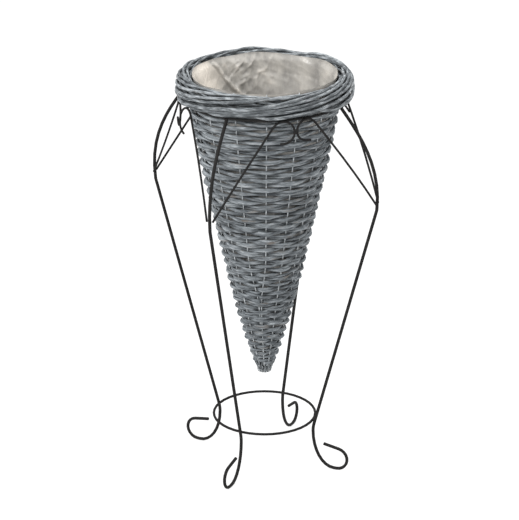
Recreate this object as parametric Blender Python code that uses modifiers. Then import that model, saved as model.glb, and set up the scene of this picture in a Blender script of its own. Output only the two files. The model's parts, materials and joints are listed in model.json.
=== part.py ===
"""A cone-shaped willow planter basket with a film liner, hung by its border in a wire stand.

Units are metres and +Z is up. The origin is on the floor, on the axis that the stand's two rings
and the basket share. The front faces -Y. Azimuths are in degrees, from +X towards +Y.
"""
import math

import bmesh
import bpy
from mathutils import Vector
from mathutils.geometry import interpolate_bezier

COLLECTION_NAME = "cone_basket_on_wire_stand"
CUTTER_COLLECTION_NAME = "cutters"

# Wire gauges and the gap that neighbouring faces keep
LEG_WIRE = 0.006
RING_WIRE = 0.005
BRACE_WIRE = 0.004
STAKE_WIRE = 0.0023
FIT_GAP = 0.0003
MERGE_DISTANCE = 0.00005

# Rings, to the wire's centre line
TOP_RING_RADIUS = 0.150
TOP_RING_HEIGHT = 0.7165
BOTTOM_RING_RADIUS = 0.095
BOTTOM_RING_HEIGHT = 0.0922
RING_SEGMENTS = 40
RING_SIDES = 8

# Legs: a bow from the top ring to the knee, a straight run to the bottom ring, and a curled foot
KNEE_RADIUS = 0.2171
KNEE_HEIGHT = 0.5287
BOW_TOP_LEAN = 37.8
BOW_KNEE_LEAN = 6.5
BOW_TOP_HANDLE = 0.0541
BOW_KNEE_HANDLE = 0.087
ANKLE_LEAD = 0.0036
ANKLE_BEND_RADIUS = 0.055
FOOT_PAD = 0.006
FOOT_CURL_RADIUS = 0.0204
FOOT_CURL_TURN = 169.0
FOOT_TAIL = 0.0305
BOW_POINTS = 11
ANKLE_POINTS = 3
INSTEP_POINTS = 8
CURL_POINTS = 10
WIRE_SIDES = 8

# Each leg's azimuth at the bottom ring, how far its other stretches are turned from that, how far from
# the stand's axis its foot rests, and the height where its two braces start
LEGS = {
    "front_right": {
        "azimuth": -22.4, "top_turn": -5.5, "knee_turn": -1.0, "foot_turn": 0.6,
        "foot_radius": 0.1421, "brace_height": 0.5415},
    "back_right": {
        "azimuth": 69.5, "top_turn": -4.5, "knee_turn": -4.5, "foot_turn": -0.4,
        "foot_radius": 0.1540, "brace_height": 0.5440},
    "back_left": {
        "azimuth": 149.6, "top_turn": 10.7, "knee_turn": 8.1, "foot_turn": -0.2,
        "foot_radius": 0.1474, "brace_height": 0.5440},
    "front_left": {
        "azimuth": 244.1, "top_turn": 0.3, "knee_turn": 0.0, "foot_turn": -0.3,
        "foot_radius": 0.1421, "brace_height": 0.5470},
}

# Panels between two legs. Each holds a pair of braces whose scrolls stand back to back near its middle;
# their turn is how far the place where they meet is turned from that middle, towards the second leg.
PANELS = {
    "right": {"legs": ("front_right", "back_right"), "turn": 14.3},
    "back": {"legs": ("back_right", "back_left"), "turn": 0.0},
    "left": {"legs": ("back_left", "front_left"), "turn": -3.6},
    "front": {"legs": ("front_left", "front_right"), "turn": 0.0},
}
# A brace's scroll: its radius, how far its top lies below the ring's centre line, how many degrees it
# runs on past its lowest point, its straight tail, and how many degrees its lower side leans outwards.
# Bow is how far the brace's run curves outwards.
PLAIN_SCROLL = {"radius": 0.0195, "drop": 0.0, "turn_on": 0.0, "tail": 0.008, "lean": 0.0, "bow": 0.0}
BRACES = {
    ("right", "front_right"): {
        "name": "brace_right_front", "radius": 0.0147, "drop": 0.0033, "turn_on": -34.4, "tail": 0.038,
        "lean": 10.9, "bow": 0.0035},
    ("right", "back_right"): {"name": "brace_right_back", **PLAIN_SCROLL, "drop": 0.002},
    ("back", "back_right"): {"name": "brace_back_right", **PLAIN_SCROLL},
    ("back", "back_left"): {"name": "brace_back_left", **PLAIN_SCROLL},
    ("left", "back_left"): {
        "name": "brace_left_back", "radius": 0.0226, "drop": 0.0039, "turn_on": 47.0, "tail": 0.002,
        "lean": 2.6, "bow": -0.0015},
    ("left", "front_left"): {
        "name": "brace_left_front", "radius": 0.0224, "drop": 0.0042, "turn_on": -12.0, "tail": 0.005,
        "lean": 9.0, "bow": -0.0015},
    ("front", "front_left"): {
        "name": "brace_front_left", "radius": 0.0204, "drop": 0.0012, "turn_on": 11.0, "tail": 0.001,
        "lean": 0.0, "bow": -0.0023},
    ("front", "front_right"): {
        "name": "brace_front_right", "radius": 0.0194, "drop": 0.0007, "turn_on": -4.0, "tail": 0.0094,
        "lean": 0.0, "bow": 0.011},
}
BRACE_KNEE_GAP = 0.0005
SCROLL_POINTS = 15
RUN_POINTS = 5

# Basket: the woven wall narrows from the stand's ring to a blunt tip
WALL_TOP_RADIUS = 0.1388
WALL_TIP_RADIUS = 0.011
WALL_THICKNESS = 0.0085
WALL_FULLNESS_SHARE = 0.82
TIP_HEIGHT = 0.1768
TIP_ROUNDING = 0.006
TIP_POINTS = 3
CAVITY_FLOOR_HEIGHT = 0.212
WALL_BANDS = 8
TURNED_STEPS = 30

# Basket: the weave's relief. Its rows are turns of one rising spiral that passes the stakes in front and
# behind by turns. A row is counted from the one at WEAVE_HEIGHT, and each is taller than the last by a share.
WEAVE_HEIGHT = 0.2155
WEAVE_PITCH = 0.0076
WEAVE_GROWTH_SHARE = 0.0042
ROW_OUT_IN_FRONT = 0.0054
ROW_OUT_BETWEEN = 0.0031
ROW_OUT_BEHIND = 0.0020
FULL_RELIEF_RADIUS = 0.035

# Basket: the rolled border, as an outline in shares of its width and height
BORDER_OUTER_RADIUS = 0.1603
BORDER_HEIGHT = 0.0407
BORDER_OUTLINE_SHARES = (
    (0.0, 0.0), (0.12, 0.85), (0.24, 0.97), (0.5, 1.0), (0.75, 0.95), (0.92, 0.82),
    (1.0, 0.62), (0.985, 0.42), (0.92, 0.2), (0.82, 0.04), (0.75, 0.0),
)
BORDER_MOUTH_SHARES = BORDER_OUTLINE_SHARES[1]
BORDER_ROLL_SHARES = BORDER_OUTLINE_SHARES[1:10]
# The rods wind over the border from its outer foot to the mouth, a groove between each two.
BORDER_ROLL_BANDS = 22
BORDER_GROOVE_DEPTH = 0.0022

# Basket: wire stakes run up inside the wall and end in the border
STAKE_COUNT = 15
STAKE_FIRST_AZIMUTH = -88.0
STAKE_FOOT_HEIGHT = 0.195
STAKE_SOCKET_DEPTH = 0.018
STAKE_POINTS = 7
STAKE_SIDES = 6

# Liner: a film bag against the inside of the wall, from the cavity's floor to up inside the border
LINER_THICKNESS = 0.001
LINER_TUCK = 0.029
LINER_BANDS = 6

PAINTED_STEEL = {"color": (0.012, 0.012, 0.013, 1.0), "roughness": 0.42, "metallic": 0.35}
GALVANISED = {"color": (0.55, 0.56, 0.56, 1.0), "roughness": 0.4, "metallic": 0.8}
GREY_WILLOW = {"color": (0.20, 0.235, 0.25, 1.0), "roughness": 0.75, "metallic": 0.0}
FILM = {"color": (0.52, 0.47, 0.42, 1.0), "roughness": 0.3, "metallic": 0.0}

BORDER_SEAT_HEIGHT = TOP_RING_HEIGHT + RING_WIRE / 2 + FIT_GAP
WALL_TOP_HEIGHT = BORDER_SEAT_HEIGHT - FIT_GAP
WALL_INNER_TOP_RADIUS = WALL_TOP_RADIUS - WALL_THICKNESS


def clear_scene():
    for item in list(bpy.data.objects):
        bpy.data.objects.remove(item, do_unlink=True)


def make_collection(name):
    collection = bpy.data.collections.new(name)
    bpy.context.scene.collection.children.link(collection)
    return collection


def make_empty(name, collection):
    empty = bpy.data.objects.new(name, None)
    collection.objects.link(empty)
    return empty


def make_material(name, look):
    material = bpy.data.materials.new(name)
    material.use_nodes = True
    shader = material.node_tree.nodes["Principled BSDF"]
    shader.inputs["Base Color"].default_value = look["color"]
    shader.inputs["Roughness"].default_value = look["roughness"]
    shader.inputs["Metallic"].default_value = look["metallic"]
    material.diffuse_color = look["color"]
    return material


def place(name, data, look, azimuth, parent, collection):
    """Put a piece that was drawn in the XZ plane, or about Z, at its azimuth on its parent."""
    piece = bpy.data.objects.new(name, data)
    piece.rotation_euler.z = math.radians(azimuth)
    piece.parent = parent
    data.materials.append(make_material(name, look))
    collection.objects.link(piece)
    return piece


def wire_curve(name, points, diameter, sides):
    curve = bpy.data.curves.new(name, "CURVE")
    curve.dimensions = "3D"
    curve.twist_mode = "MINIMUM"
    curve.bevel_depth = diameter / 2
    curve.bevel_resolution = (sides - 4) // 2
    curve.use_fill_caps = True
    spline = curve.splines.new("POLY")
    spline.points.add(len(points) - 1)
    for spline_point, point in zip(spline.points, points):
        spline_point.co = (*point, 1.0)
        spline_point.tilt = math.pi / sides
    return curve


def turned_mesh(name, profile):
    """A profile in the XZ plane as loose edges, ready for a Screw modifier."""
    mesh = bpy.data.meshes.new(name)
    build = bmesh.new()
    corners = [build.verts.new((radius, 0.0, height)) for radius, height in profile]
    for first, second in zip(corners, corners[1:]):
        build.edges.new((first, second))
    build.to_mesh(mesh)
    build.free()
    return mesh


def add_screw(piece):
    screw = piece.modifiers.new("turn", "SCREW")
    screw.steps = TURNED_STEPS
    screw.render_steps = TURNED_STEPS
    screw.use_merge_vertices = True
    screw.merge_threshold = MERGE_DISTANCE
    screw.use_smooth_shade = True


def add_cut(piece, cutters):
    cut = piece.modifiers.new("stake tunnels", "BOOLEAN")
    cut.operation = "DIFFERENCE"
    cut.operand_type = "COLLECTION"
    cut.collection = cutters
    cut.solver = "EXACT"


# Stand

def add_ring(name, radius, height, parent, collection):
    bpy.ops.mesh.primitive_torus_add(
        major_segments=RING_SEGMENTS, minor_segments=RING_SIDES,
        major_radius=radius, minor_radius=RING_WIRE / 2, location=(0.0, 0.0, height),
    )
    ring = bpy.context.object
    ring.name = name
    ring.data.name = name
    ring.data.shade_smooth()
    ring.data.materials.append(make_material(name, PAINTED_STEEL))
    ring.parent = parent
    for owner in list(ring.users_collection):
        owner.objects.unlink(ring)
    collection.objects.link(ring)


def bow_points():
    """Radius and height from the top ring, where the wire butts, to the knee."""
    seat = RING_WIRE / 2 + FIT_GAP
    top_lean = math.radians(BOW_TOP_LEAN)
    knee_lean = math.radians(BOW_KNEE_LEAN)
    away = Vector((math.sin(top_lean), -math.cos(top_lean)))
    up = Vector((math.sin(knee_lean), math.cos(knee_lean)))
    top = Vector((TOP_RING_RADIUS, TOP_RING_HEIGHT)) + away * seat
    knee = Vector((KNEE_RADIUS, KNEE_HEIGHT))
    return interpolate_bezier(
        top, top + away * BOW_TOP_HANDLE, knee + up * BOW_KNEE_HANDLE, knee, BOW_POINTS)


def shin_direction():
    """Unit direction of the straight run, and its length to where it touches the bottom ring."""
    knee = Vector((KNEE_RADIUS, KNEE_HEIGHT))
    to_ring = Vector((BOTTOM_RING_RADIUS, BOTTOM_RING_HEIGHT)) - knee
    touch = (LEG_WIRE + RING_WIRE) / 2 + FIT_GAP
    heading = math.atan2(to_ring.y, to_ring.x) + math.asin(touch / to_ring.length)
    reach = math.sqrt(to_ring.length_squared - touch ** 2)
    return heading, reach


def arc_points(start, heading, radius, turn, count):
    """Points after start along an arc that turns left by turn, all in radius and height."""
    centre = start + radius * Vector((-math.sin(heading), math.cos(heading)))
    points = []
    for step in range(1, count + 1):
        angle = heading + turn * step / count
        points.append(centre + radius * Vector((math.sin(angle), -math.cos(angle))))
    return points


def foot_points(shin_end, heading, foot_radius):
    """The ankle's bend, the instep's quarter ellipse, the flat pad, the curl and its tail."""
    down = -math.pi / 2
    bend = (down - heading) % (2 * math.pi)
    ankle = arc_points(shin_end, heading, ANKLE_BEND_RADIUS, bend, ANKLE_POINTS)
    start = ankle[-1]
    rest_height = LEG_WIRE / 2 * math.cos(math.pi / WIRE_SIDES)
    pad_start = Vector((foot_radius - FOOT_PAD / 2, rest_height))
    pad_end = Vector((foot_radius + FOOT_PAD / 2, rest_height))
    across = pad_start.x - start.x
    drop = start.y - pad_start.y
    instep = []
    for step in range(1, INSTEP_POINTS + 1):
        angle = math.pi / 2 * step / INSTEP_POINTS
        instep.append(Vector((pad_start.x - across * math.cos(angle), start.y - drop * math.sin(angle))))
    turn = math.radians(FOOT_CURL_TURN)
    curl = arc_points(pad_end, 0.0, FOOT_CURL_RADIUS, turn, CURL_POINTS)
    tail = curl[-1] + FOOT_TAIL * Vector((math.cos(turn), math.sin(turn)))
    return ankle + instep, [pad_end] + curl + [tail]


def turned(point, turn):
    """A point of the leg's outline, turned about the stand's axis by so many degrees."""
    angle = math.radians(turn)
    return Vector((point.x * math.cos(angle), point.x * math.sin(angle), point.y))


def bow_and_shin(leg):
    """The bow's points and the shin's lower end, each with its turn about the stand's axis."""
    bow = bow_points()
    heading, reach = shin_direction()
    shin_end = bow[-1] + Vector((math.cos(heading), math.sin(heading))) * (reach + ANKLE_LEAD)
    shares = [step / (len(bow) - 1) for step in range(len(bow))]
    turns = [leg["top_turn"] * (1 - share) + leg["knee_turn"] * share for share in shares]
    return list(zip(bow + [shin_end], turns + [0.0]))


def leg_points(leg):
    """The leg's centre line from its foot up, in the XZ plane where it touches the bottom ring.

    The wire's flats keep the turn that they have at its first point, so the pad lies flat.
    """
    upper = bow_and_shin(leg)
    heading, _ = shin_direction()
    ankle, curl = foot_points(upper[-1][0], heading, leg["foot_radius"])
    points = [turned(point, turn) for point, turn in upper]
    for step, point in enumerate(ankle, start=1):
        points.append(turned(point, leg["foot_turn"] * step / len(ankle)))
    points += [turned(point, leg["foot_turn"]) for point in curl]
    points.reverse()
    return points


def add_leg(name, leg, parent, collection):
    curve = wire_curve(name, leg_points(leg), LEG_WIRE, WIRE_SIDES)
    place(name, curve, PAINTED_STEEL, leg["azimuth"], parent, collection)


def brace_start(leg_name):
    """Radius, azimuth and height on a leg's bow or shin where its two braces start."""
    leg = LEGS[leg_name]
    height = leg["brace_height"]
    run = bow_and_shin(leg)
    step = max(index for index, (point, _) in enumerate(run) if point.y > height)
    (above, above_turn), (below, below_turn) = run[step], run[step + 1]
    part = (above.y - height) / (above.y - below.y)
    azimuth = leg["azimuth"] + above_turn * (1 - part) + below_turn * part
    return above.x + (below.x - above.x) * part, azimuth, height


def scroll_reach(brace):
    """How far a scroll's centre line lies from the stand's axis, so that its top touches the top ring."""
    touch = (RING_WIRE + BRACE_WIRE) / 2 + FIT_GAP
    return TOP_RING_RADIUS + math.sqrt(touch ** 2 - brace["drop"] ** 2)


def scroll_half_angle(brace):
    """Degrees from the place where two scrolls meet to the top of this one."""
    reach = scroll_reach(brace)
    beside = math.asin((BRACE_WIRE + FIT_GAP) / 2 / math.hypot(reach, brace["radius"]))
    return math.degrees(math.atan2(brace["radius"], reach) + beside)


def brace_points(brace, start, start_angle, side):
    """From beside the leg up to the scroll, which leans by its own angle and touches the top ring.

    X points out through the scroll's top, and side is +1 or -1 along Y, towards the leg.
    """
    angle = math.radians(start_angle)
    start_radius, _, start_height = start
    beside = (LEG_WIRE + BRACE_WIRE) / 2 + BRACE_KNEE_GAP
    out = start_radius * math.cos(angle) + beside * math.sin(angle)
    across = start_radius * math.sin(angle) - beside * math.cos(angle)
    radius = brace["radius"]
    top_height = TOP_RING_HEIGHT - brace["drop"]
    centre = Vector((0.0, top_height - radius))
    to_centre = centre - Vector((across, start_height))
    heading = math.atan2(to_centre.y, to_centre.x) - math.asin(radius / to_centre.length)
    tangent = centre + radius * Vector((math.sin(heading), -math.cos(heading)))
    end_heading = 2 * math.pi + math.radians(brace["turn_on"])
    scroll = arc_points(tangent, heading, radius, end_heading - heading, SCROLL_POINTS)
    tail = scroll[-1] + brace["tail"] * Vector((math.cos(end_heading), math.sin(end_heading)))
    leaning = math.tan(math.radians(brace["lean"]))
    flat = [Vector((scroll_reach(brace) + leaning * (top_height - point.y), side * point.x, point.y))
            for point in [tangent] + scroll + [tail]]
    foot = Vector((out, side * across, start_height))
    run = []
    for step in range(RUN_POINTS):
        share = step / RUN_POINTS
        outwards = Vector((brace["bow"] * 4 * share * (1 - share), 0.0, 0.0))
        run.append(foot.lerp(flat[0], share) + outwards)
    return run + flat


def add_braces(panel_name, parent, collection):
    panel = PANELS[panel_name]
    starts = [brace_start(leg_name) for leg_name in panel["legs"]]
    first_azimuth = starts[0][1]
    width = (starts[1][1] - first_azimuth) % 360.0
    meeting = width / 2 + panel["turn"]
    for leg_name, start, side, at in zip(panel["legs"], starts, (-1.0, 1.0), (0.0, width)):
        brace = BRACES[panel_name, leg_name]
        scroll = meeting + side * scroll_half_angle(brace)
        points = brace_points(brace, start, abs(at - scroll), side)
        curve = wire_curve(brace["name"], points, BRACE_WIRE, WIRE_SIDES)
        place(brace["name"], curve, PAINTED_STEEL, first_azimuth + scroll, parent, collection)


# Basket

def wall_radius(height):
    """Outer radius of the woven wall, a cone with slightly full sides."""
    share = max(height - TIP_HEIGHT, 0.0) / (WALL_TOP_HEIGHT - TIP_HEIGHT)
    return WALL_TIP_RADIUS + (WALL_TOP_RADIUS - WALL_TIP_RADIUS) * share ** WALL_FULLNESS_SHARE


def heights_between(low, high, bands):
    return [low + (high - low) * step / bands for step in range(bands + 1)]


def corner(build, column, radius, height):
    """A corner of a mesh about Z, in the column of that number."""
    angle = 2 * math.pi * column / TURNED_STEPS
    return build.verts.new((radius * math.cos(angle), radius * math.sin(angle), height))


def add_loop(build, radius, height):
    return [corner(build, column, radius, height) for column in range(TURNED_STEPS)]


def join_loops(build, first, second):
    for column in range(TURNED_STEPS):
        after = (column + 1) % TURNED_STEPS
        build.faces.new((first[column], first[after], second[after], second[column]))


def row_height(row):
    """Height where the weave's spiral has risen by so many rows from WEAVE_HEIGHT."""
    return WEAVE_HEIGHT + WEAVE_PITCH / WEAVE_GROWTH_SHARE * (math.exp(WEAVE_GROWTH_SHARE * row) - 1.0)


def row_at(height):
    """How many rows from WEAVE_HEIGHT the spiral has risen at that height."""
    grown = (height - WEAVE_HEIGHT) * WEAVE_GROWTH_SHARE / WEAVE_PITCH
    return math.log(1.0 + grown) / WEAVE_GROWTH_SHARE


def weave_rows():
    """The first and last whole row that fit between the tip's rounding and the rim."""
    first = math.ceil(row_at(TIP_HEIGHT + TIP_ROUNDING))
    return first, math.floor(row_at(WALL_TOP_HEIGHT - WEAVE_PITCH / 2))


def passes_in_front(step):
    """The spiral has two steps to a stake, and passes every second stake that it meets in front."""
    return step % 4 == 2


def weave_radius(step, height):
    """Outer radius where the spiral passes a stake in front or behind, or is halfway to the next."""
    middle = wall_radius(height) - WALL_THICKNESS / 2
    relief = min(middle / FULL_RELIEF_RADIUS, 1.0)
    out = ROW_OUT_BEHIND if step % 2 == 0 else ROW_OUT_BETWEEN
    if passes_in_front(step):
        out = ROW_OUT_IN_FRONT
    return middle + ROW_OUT_BEHIND + (out - ROW_OUT_BEHIND) * relief


def add_weave(build):
    """The spiral's corners, and two triangles to a step that meet along the side of a row in front."""
    corners = []
    first_row, last_row = weave_rows()
    for step in range(TURNED_STEPS * (last_row - first_row) + 1):
        height = row_height(first_row + step / TURNED_STEPS)
        corners.append(corner(build, step, weave_radius(step, height), height))
    for step in range(len(corners) - TURNED_STEPS - 1):
        here, after = corners[step], corners[step + 1]
        above, above_after = corners[step + TURNED_STEPS], corners[step + TURNED_STEPS + 1]
        if passes_in_front(step) or passes_in_front(step + TURNED_STEPS + 1):
            build.faces.new((here, after, above_after))
            build.faces.new((here, above_after, above))
        else:
            build.faces.new((here, after, above))
            build.faces.new((after, above_after, above))
    return corners


def wall_mesh(name):
    """From the cavity's floor up the inside, over the rim, down the weave and round the tip."""
    build = bmesh.new()
    rounding_height = TIP_HEIGHT + TIP_ROUNDING
    tip_centre = wall_radius(rounding_height) - TIP_ROUNDING
    inside = [add_loop(build, wall_radius(height) - WALL_THICKNESS, height)
              for height in heights_between(CAVITY_FLOOR_HEIGHT, WALL_TOP_HEIGHT, WALL_BANDS)]
    rim = add_loop(build, WALL_TOP_RADIUS, WALL_TOP_HEIGHT)
    corners = add_weave(build)
    tip = []
    for step in range(TIP_POINTS):
        angle = math.pi / 2 * step / TIP_POINTS
        tip.append(add_loop(build, tip_centre + TIP_ROUNDING * math.cos(angle),
                            rounding_height - TIP_ROUNDING * math.sin(angle)))
    tip.append(add_loop(build, tip_centre, TIP_HEIGHT))
    for loops in (inside + [rim], tip):
        for first, second in zip(loops, loops[1:]):
            join_loops(build, first, second)
    build.faces.new(inside[0])
    build.faces.new(tip[-1])
    # The spiral's two ends are one row high, so one face beside each has a fifth corner.
    first_turn, last_turn = corners[:TURNED_STEPS + 1], corners[-TURNED_STEPS - 1:]
    for column in range(TURNED_STEPS - 1):
        build.faces.new((tip[0][column], tip[0][column + 1], first_turn[column + 1], first_turn[column]))
    build.faces.new((tip[0][-1], tip[0][0], first_turn[0], first_turn[-1], first_turn[-2]))
    build.faces.new((last_turn[0], last_turn[1], rim[1], rim[0], last_turn[-1]))
    for column in range(1, TURNED_STEPS):
        after = (column + 1) % TURNED_STEPS
        build.faces.new((last_turn[column], last_turn[column + 1], rim[after], rim[column]))
    return finished_mesh(name, build)


def finished_mesh(name, build):
    bmesh.ops.recalc_face_normals(build, faces=build.faces)
    mesh = bpy.data.meshes.new(name)
    build.to_mesh(mesh)
    build.free()
    return mesh


def add_wall(cutters, parent, collection):
    wall = place("woven_wall", wall_mesh("woven_wall"), GREY_WILLOW, STAKE_FIRST_AZIMUTH, parent, collection)
    add_cut(wall, cutters)


def border_point(shares):
    """Radius and height of a point of the border's outline."""
    width = BORDER_OUTER_RADIUS - WALL_INNER_TOP_RADIUS
    return WALL_INNER_TOP_RADIUS + width * shares[0], BORDER_SEAT_HEIGHT + BORDER_HEIGHT * shares[1]


def roll_points():
    """Radius and height of evenly spaced points from the mouth over the border to its outer foot."""
    outline = [Vector(border_point(shares)) for shares in BORDER_ROLL_SHARES]
    lengths = [(second - first).length for first, second in zip(outline, outline[1:])]
    points = []
    for band in range(BORDER_ROLL_BANDS + 1):
        left = sum(lengths) * band / BORDER_ROLL_BANDS
        part = 0
        while part < len(lengths) - 1 and left > lengths[part]:
            left -= lengths[part]
            part += 1
        points.append(outline[part].lerp(outline[part + 1], min(left / lengths[part], 1.0)))
    return points


def border_mesh(name):
    """Rods wound over the border: each climbs the outer side with rising azimuth and crosses to the mouth."""
    build = bmesh.new()
    roll = roll_points()
    middle = sum(roll, Vector((0.0, 0.0))) / len(roll)
    loops = []
    for band, point in enumerate(roll):
        groove = point + (middle - point).normalized() * BORDER_GROOVE_DEPTH
        at_end = band in (0, BORDER_ROLL_BANDS)
        loops.append([corner(build, column, *(point if at_end or (band + column) % 2 == 0 else groove))
                      for column in range(TURNED_STEPS)])
    for first, second in zip(loops, loops[1:]):
        for column in range(TURNED_STEPS):
            after = (column + 1) % TURNED_STEPS
            if (loops.index(first) + column) % 2 == 0:
                build.faces.new((first[column], first[after], second[column]))
                build.faces.new((first[after], second[after], second[column]))
            else:
                build.faces.new((first[column], first[after], second[after]))
                build.faces.new((first[column], second[after], second[column]))
    seat = [add_loop(build, *border_point(BORDER_OUTLINE_SHARES[index])) for index in (-1, 0)]
    join_loops(build, loops[-1], seat[0])
    join_loops(build, seat[0], seat[1])
    join_loops(build, seat[1], loops[0])
    return finished_mesh(name, build)


def add_border(cutters, parent, collection):
    border = place("rolled_border", border_mesh("rolled_border"), GREY_WILLOW, STAKE_FIRST_AZIMUTH,
                   parent, collection)
    add_cut(border, cutters)


def stake_points(reach):
    """A stake's centre line in the XZ plane, halfway through the wall, with both ends run on by reach."""
    heights = heights_between(STAKE_FOOT_HEIGHT, WALL_TOP_HEIGHT, STAKE_POINTS - 2)
    points = [Vector((wall_radius(height) - WALL_THICKNESS / 2, 0.0, height)) for height in heights]
    foot_direction = (points[0] - points[1]).normalized()
    head_direction = (points[-1] - points[-2]).normalized()
    points.append(points[-1] + head_direction * (STAKE_SOCKET_DEPTH + reach))
    points[0] += foot_direction * reach
    return points


def stake_azimuth(index):
    return STAKE_FIRST_AZIMUTH + 360.0 * index / STAKE_COUNT


def add_tunnels(cutters):
    """The bores that the stakes lie in, wider than a stake by the gap all round."""
    curve = wire_curve("tunnel", stake_points(FIT_GAP), STAKE_WIRE + 2 * FIT_GAP, STAKE_SIDES)
    source = bpy.data.objects.new("tunnel", curve)
    cutters.objects.link(source)
    depsgraph = bpy.context.evaluated_depsgraph_get()
    mesh = bpy.data.meshes.new_from_object(source.evaluated_get(depsgraph))
    build = bmesh.new()
    build.from_mesh(mesh)
    bmesh.ops.remove_doubles(build, verts=build.verts, dist=MERGE_DISTANCE)
    build.to_mesh(mesh)
    build.free()
    bpy.data.objects.remove(source)
    for index in range(STAKE_COUNT):
        tunnel = bpy.data.objects.new(f"tunnel_{index + 1:02d}", mesh)
        tunnel.rotation_euler.z = math.radians(stake_azimuth(index))
        tunnel.hide_render = True
        tunnel.display_type = "WIRE"
        cutters.objects.link(tunnel)


def add_stakes(parent, collection):
    for index in range(STAKE_COUNT):
        name = f"stake_{index + 1:02d}"
        curve = wire_curve(name, stake_points(0.0), STAKE_WIRE, STAKE_SIDES)
        place(name, curve, GALVANISED, stake_azimuth(index), parent, collection)


def liner_profile():
    """Down the outside of the film, from its tucked edge to the middle of its floor."""
    mouth_radius, mouth_height = border_point(BORDER_MOUTH_SHARES)
    edge_height = WALL_TOP_HEIGHT + LINER_TUCK
    lean = (mouth_radius - WALL_INNER_TOP_RADIUS) / (mouth_height - WALL_TOP_HEIGHT)
    edge_radius = WALL_INNER_TOP_RADIUS + lean * LINER_TUCK - FIT_GAP
    floor_height = CAVITY_FLOOR_HEIGHT + FIT_GAP
    heights = heights_between(floor_height, WALL_TOP_HEIGHT, LINER_BANDS)
    profile = [(edge_radius, edge_height)]
    profile += [(wall_radius(height) - WALL_THICKNESS - FIT_GAP, height) for height in reversed(heights)]
    profile.append((0.0, floor_height))
    return profile


def add_liner(parent, collection):
    liner = place("liner", turned_mesh("liner", liner_profile()), FILM, STAKE_FIRST_AZIMUTH,
                  parent, collection)
    add_screw(liner)
    skin = liner.modifiers.new("film", "SOLIDIFY")
    skin.thickness = LINER_THICKNESS
    skin.offset = -1.0
    skin.use_even_offset = True


def build_stand(collection):
    stand = make_empty("stand", collection)
    add_ring("top_ring", TOP_RING_RADIUS, TOP_RING_HEIGHT, stand, collection)
    add_ring("bottom_ring", BOTTOM_RING_RADIUS, BOTTOM_RING_HEIGHT, stand, collection)
    for leg_name, leg in LEGS.items():
        add_leg(f"leg_{leg_name}", leg, stand, collection)
    for panel_name in PANELS:
        add_braces(panel_name, stand, collection)


def build_basket(collection, cutters):
    """The basket lifts out along +Z, and its empty lies on that axis."""
    basket = make_empty("basket", collection)
    add_tunnels(cutters)
    add_wall(cutters, basket, collection)
    add_border(cutters, basket, collection)
    add_stakes(basket, collection)
    add_liner(basket, collection)


def main():
    clear_scene()
    collection = make_collection(COLLECTION_NAME)
    cutters = make_collection(CUTTER_COLLECTION_NAME)
    build_stand(collection)
    build_basket(collection, cutters)


main()
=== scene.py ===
import json
from itertools import combinations
from math import pi, radians

import bmesh
import bpy
import numpy as np
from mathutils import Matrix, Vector, noise
from mathutils.bvhtree import BVHTree


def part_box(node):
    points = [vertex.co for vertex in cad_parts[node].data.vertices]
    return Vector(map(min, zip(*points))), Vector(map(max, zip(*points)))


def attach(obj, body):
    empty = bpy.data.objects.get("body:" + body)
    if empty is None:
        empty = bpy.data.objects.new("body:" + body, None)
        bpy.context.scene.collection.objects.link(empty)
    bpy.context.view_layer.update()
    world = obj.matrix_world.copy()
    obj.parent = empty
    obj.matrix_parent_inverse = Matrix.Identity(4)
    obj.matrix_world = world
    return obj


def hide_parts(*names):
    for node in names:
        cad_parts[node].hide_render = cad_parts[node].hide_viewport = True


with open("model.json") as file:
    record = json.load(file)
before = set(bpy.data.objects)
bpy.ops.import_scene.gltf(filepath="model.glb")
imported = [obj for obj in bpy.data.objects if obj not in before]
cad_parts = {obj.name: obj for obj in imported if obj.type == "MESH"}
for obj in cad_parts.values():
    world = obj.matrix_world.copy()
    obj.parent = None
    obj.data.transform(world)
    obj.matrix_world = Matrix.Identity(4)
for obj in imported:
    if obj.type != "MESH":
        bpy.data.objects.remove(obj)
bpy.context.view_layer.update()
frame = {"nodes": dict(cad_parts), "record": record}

# Metres and degrees. +Z is up, the photograph is taken from -Y, azimuth 0 is +X and -90 the front.
MM = 0.001
SEED = 7

# The basket's wall: radius of its outer side at the tip and the top, and the power by which it widens.
wall_low, wall_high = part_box("woven_wall")
TIP_HEIGHT = wall_low.z
WALL_TOP_HEIGHT = wall_high.z
TIP_RADIUS = 11 * MM
WALL_TOP_RADIUS = 138.8 * MM
WALL_WIDENING = 0.82
WALL_THICKNESS = 8.5 * MM
# The woven cone leans by so much to the left at its top.
WALL_LEAN = 1.3 * MM
STAKE_COUNT = 15

# At the back, to the right, the rim dips: its azimuth, half width and depth.
RIM_DIP = (67.0, 12.0, 4.5 * MM)

# A rod's cut end is one more ring: how far beyond the path and how wide, as shares of the radius.
CUT_REACH_SHARE = 0.2
CUT_WIDTH_SHARE = 0.8
# Ridges along a rod are so much higher than its lumps, and each rod's grain starts past the last one's.
RIDGE_SHARE = 1.5
GRAIN_GAP = 0.37
# Buds swell a willow rod by this share.
BUD_SWELL_SHARE = 0.14


def ease(share):
    return share * share * (3 - 2 * share)


def smooth_share(value, low, high):
    """0 up to low, 1 from high on, and eased between."""
    return ease(np.clip((value - low) / (high - low), 0.0, 1.0))


def bell(distance, half_width):
    return np.exp(-(distance / half_width) ** 2)


def wander(rng, along, step, size):
    """A smooth random offset along a rod: a new value every step, eased between."""
    knots = rng.uniform(-1.0, 1.0, int(np.ptp(along) / step) + 3) * size
    at = (along - along.min()) / step + rng.uniform(0.0, 1.0)
    low = np.floor(at).astype(int)
    share = ease(at - low)
    return knots[low] * (1 - share) + knots[low + 1] * share


def wanders(rng, along, steps_and_sizes):
    """Several such offsets, one on another."""
    return sum(wander(rng, along, step, size) for step, size in steps_and_sizes)


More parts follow.
